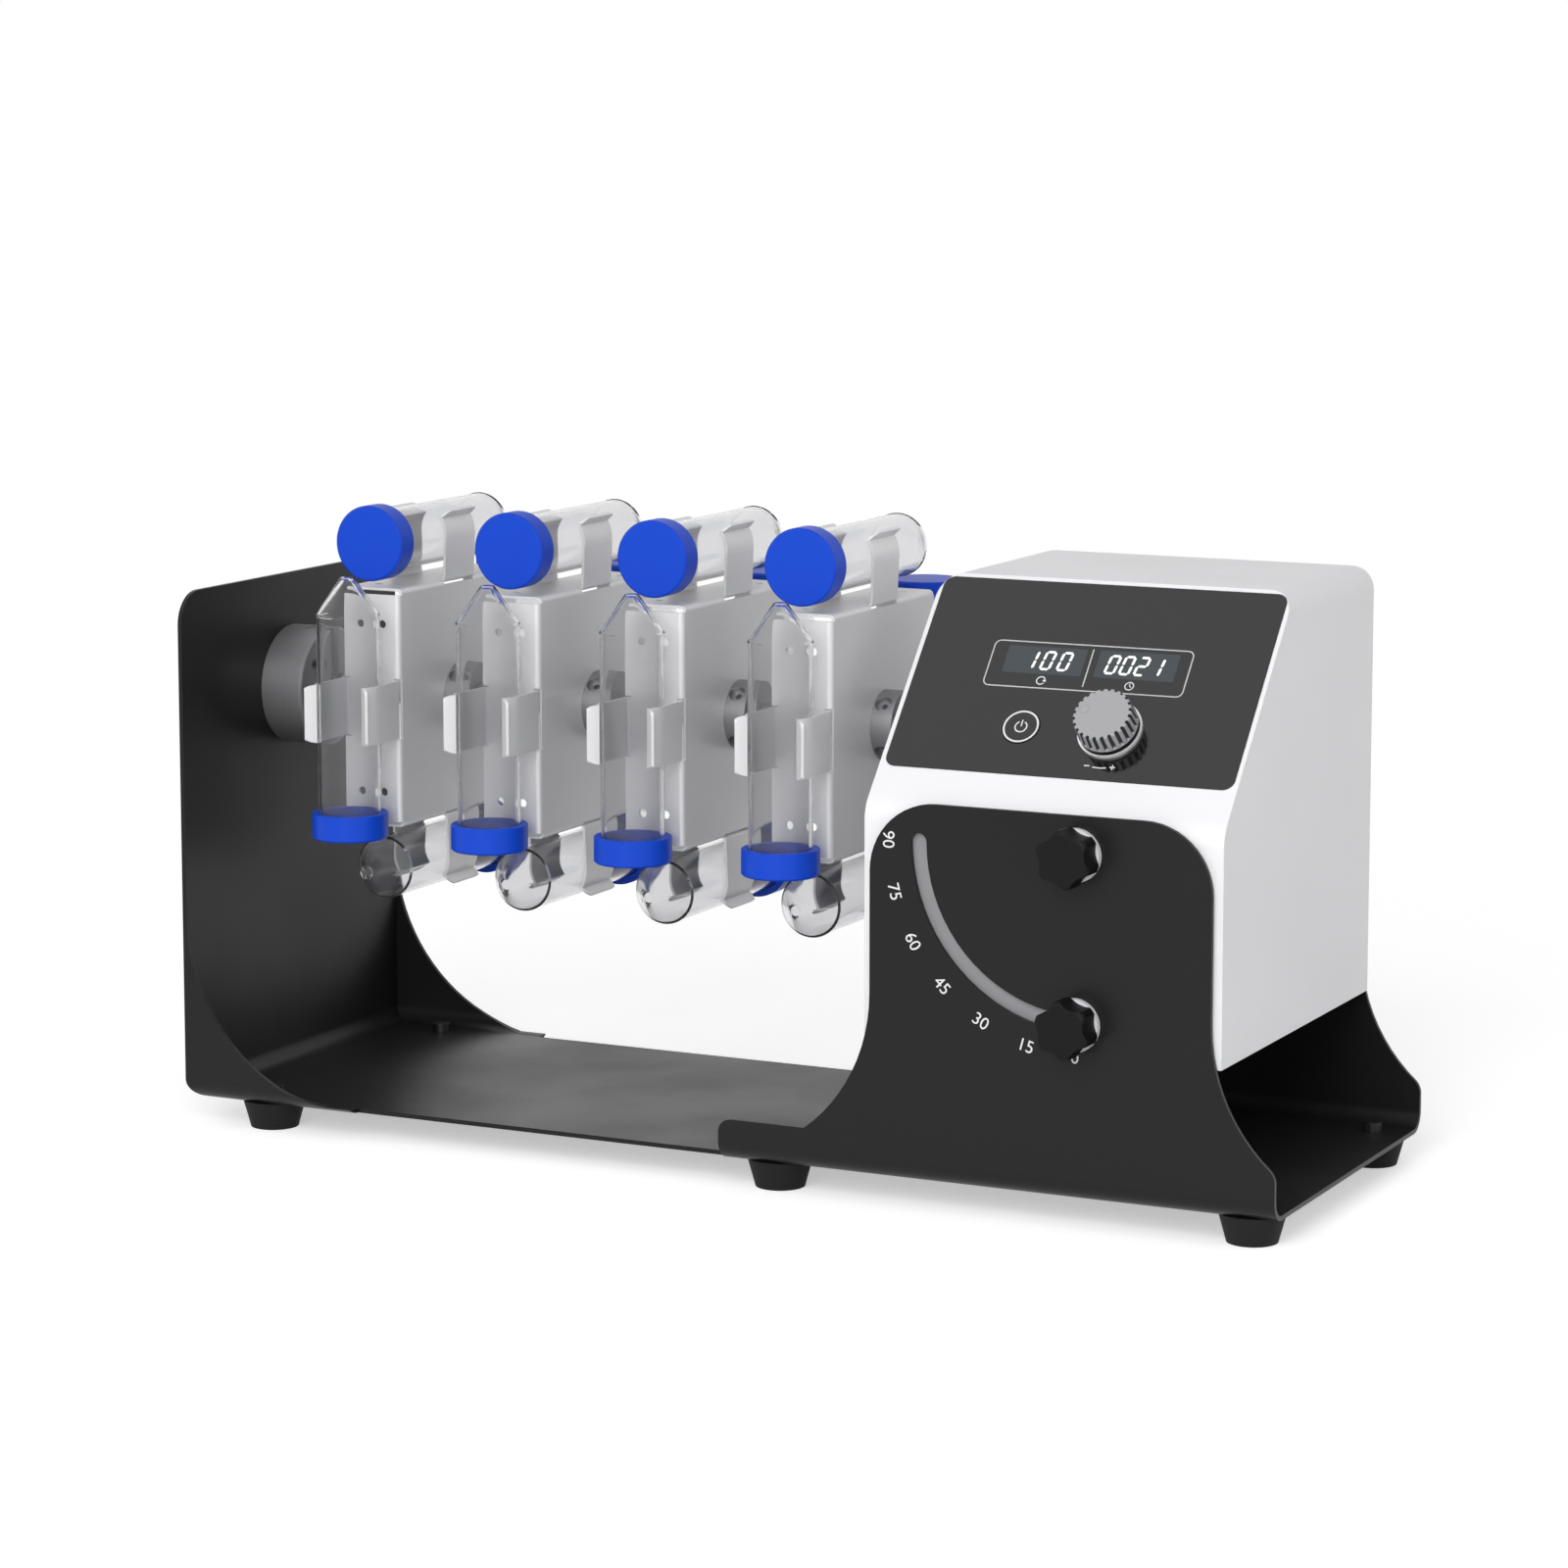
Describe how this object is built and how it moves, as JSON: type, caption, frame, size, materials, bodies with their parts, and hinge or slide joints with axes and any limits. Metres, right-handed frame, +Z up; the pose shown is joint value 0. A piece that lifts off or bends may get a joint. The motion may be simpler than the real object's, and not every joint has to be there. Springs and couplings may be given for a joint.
{
  "type": "rotary tube mixer",
  "caption": "Bench mixer: a folded sheet base carries a tilting drive head whose shaft turns square spring-clip holders of capped conical tubes end over end.",
  "frame": {"origin": "middle of the bounding box on the table, under the feet", "axes": "+X along the rotor from the upright to the head, +Y from the front to the back, +Z up"},
  "size_m": [0.524, 0.21, 0.2827],
  "materials": {
    "base_black": "satin powder coat",
    "rubber_black": "matte",
    "screw_dark": "blackened",
    "screw_steel": "zinc plated",
    "tail_grey": "bead blasted",
    "hood_white": "fine grain",
    "overlay_grey": "satin film",
    "window_dark": "clear tinted",
    "module_black": "matte",
    "board_green": "lacquered",
    "brass": "turned",
    "ring_bright": "satin",
    "sheet_steel": "plain",
    "motor_grey": "satin",
    "washer_white": "smooth",
    "knob_black": "fine grain",
    "knob_grey": "satin",
    "shaft_steel": "ground",
    "clip_steel": "satin",
    "tube_clear": "translucent",
    "cap_blue": "satin"
  },
  "bodies": {
    "base": {"base_frame": "base_black", "rubber_feet": "rubber_black", "foot_screws": "screw_dark", "tail_block": "tail_grey", "tail_cradle": "tail_grey", "tail_screws": "screw_dark"},
    "head": {"head_hood": "hood_white", "head_bottom": "hood_white", "bottom_screws": "screw_steel", "rear_panel": "hood_white", "rear_screws": "screw_steel", "panel_overlay": "overlay_grey", "display_windows": "window_dark", "display_modules": "module_black", "control_board": "board_green", "board_standoffs": "brass", "encoder_body": "screw_steel", "encoder_ring": "ring_bright", "button_switch": "module_black", "motor_bracket": "sheet_steel", "bracket_screws": "screw_steel", "gearbox": "tail_grey", "motor": "motor_grey", "bearing_housing": "tail_grey", "shaft_bearing": "screw_steel", "stud_bosses": "brass", "rear_boss": "brass", "knob_washers": "washer_white", "rear_pivot_bolt": "screw_steel", "rear_washer": "washer_white", "power_inlet": "module_black", "switch_housing": "module_black"},
    "rotor": {"rotor_shaft": "shaft_steel", "output_shaft": "shaft_steel", "shaft_coupling": "tail_grey", "coupling_screws": "screw_dark", "hub_collars": "tail_grey", "hub_screws": "screw_steel", "set_screws": "screw_steel", "tube_holder_1": "clip_steel", "tubes_1": "tube_clear", "caps_1": "cap_blue", "tube_holder_2": "clip_steel", "tubes_2": "tube_clear", "caps_2": "cap_blue", "tube_holder_3": "clip_steel", "tubes_3": "tube_clear", "caps_3": "cap_blue", "tube_holder_4": "clip_steel", "tubes_4": "tube_clear", "caps_4": "cap_blue"},
    "pivot_knob": {"pivot_knob": "knob_black", "pivot_stud": "screw_steel"},
    "lock_knob": {"lock_knob": "knob_black", "lock_stud": "screw_steel"},
    "encoder_knob": {"encoder_knob": "knob_grey"},
    "push_button": {"push_button": "overlay_grey"},
    "rocker": {"rocker": "module_black"}
  },
  "joints": [
    {"name": "tilt", "type": "hinge", "parent": "base", "child": "head", "pos_m": [0.174, 0.00375, 0.1583], "axis": [0, 1, 0], "range_deg": [0, 90]},
    {"name": "spin", "type": "hinge", "parent": "head", "child": "rotor", "pos_m": [0, 0.00375, 0.1915], "axis": [1, 0, 0], "continuous": true},
    {"name": "pivot_knob_turn", "type": "hinge", "parent": "head", "child": "pivot_knob", "pos_m": [0.174, -0.08925, 0.1583], "axis": [0, -1, 0], "range_deg": [0, 360]},
    {"name": "lock_knob_turn", "type": "hinge", "parent": "head", "child": "lock_knob", "pos_m": [0.174, -0.08925, 0.0873], "axis": [0, -1, 0], "range_deg": [0, 360]},
    {"name": "encoder_turn", "type": "hinge", "parent": "head", "child": "encoder_knob", "pos_m": [0.17505, -0.05588, 0.20505], "axis": [0, -0.751, 0.6603], "continuous": true},
    {"name": "button_press", "type": "slide", "parent": "head", "child": "push_button", "axis": [0, 0.751, -0.6603], "range_m": [0, 0.0006], "stiffness_N_per_m": 800},
    {"name": "rocker_flip", "type": "hinge", "parent": "head", "child": "rocker", "pos_m": [0.165, 0.09375, 0.2315], "axis": [-1, 0, 0], "range_deg": [0, 18]}
  ]
}
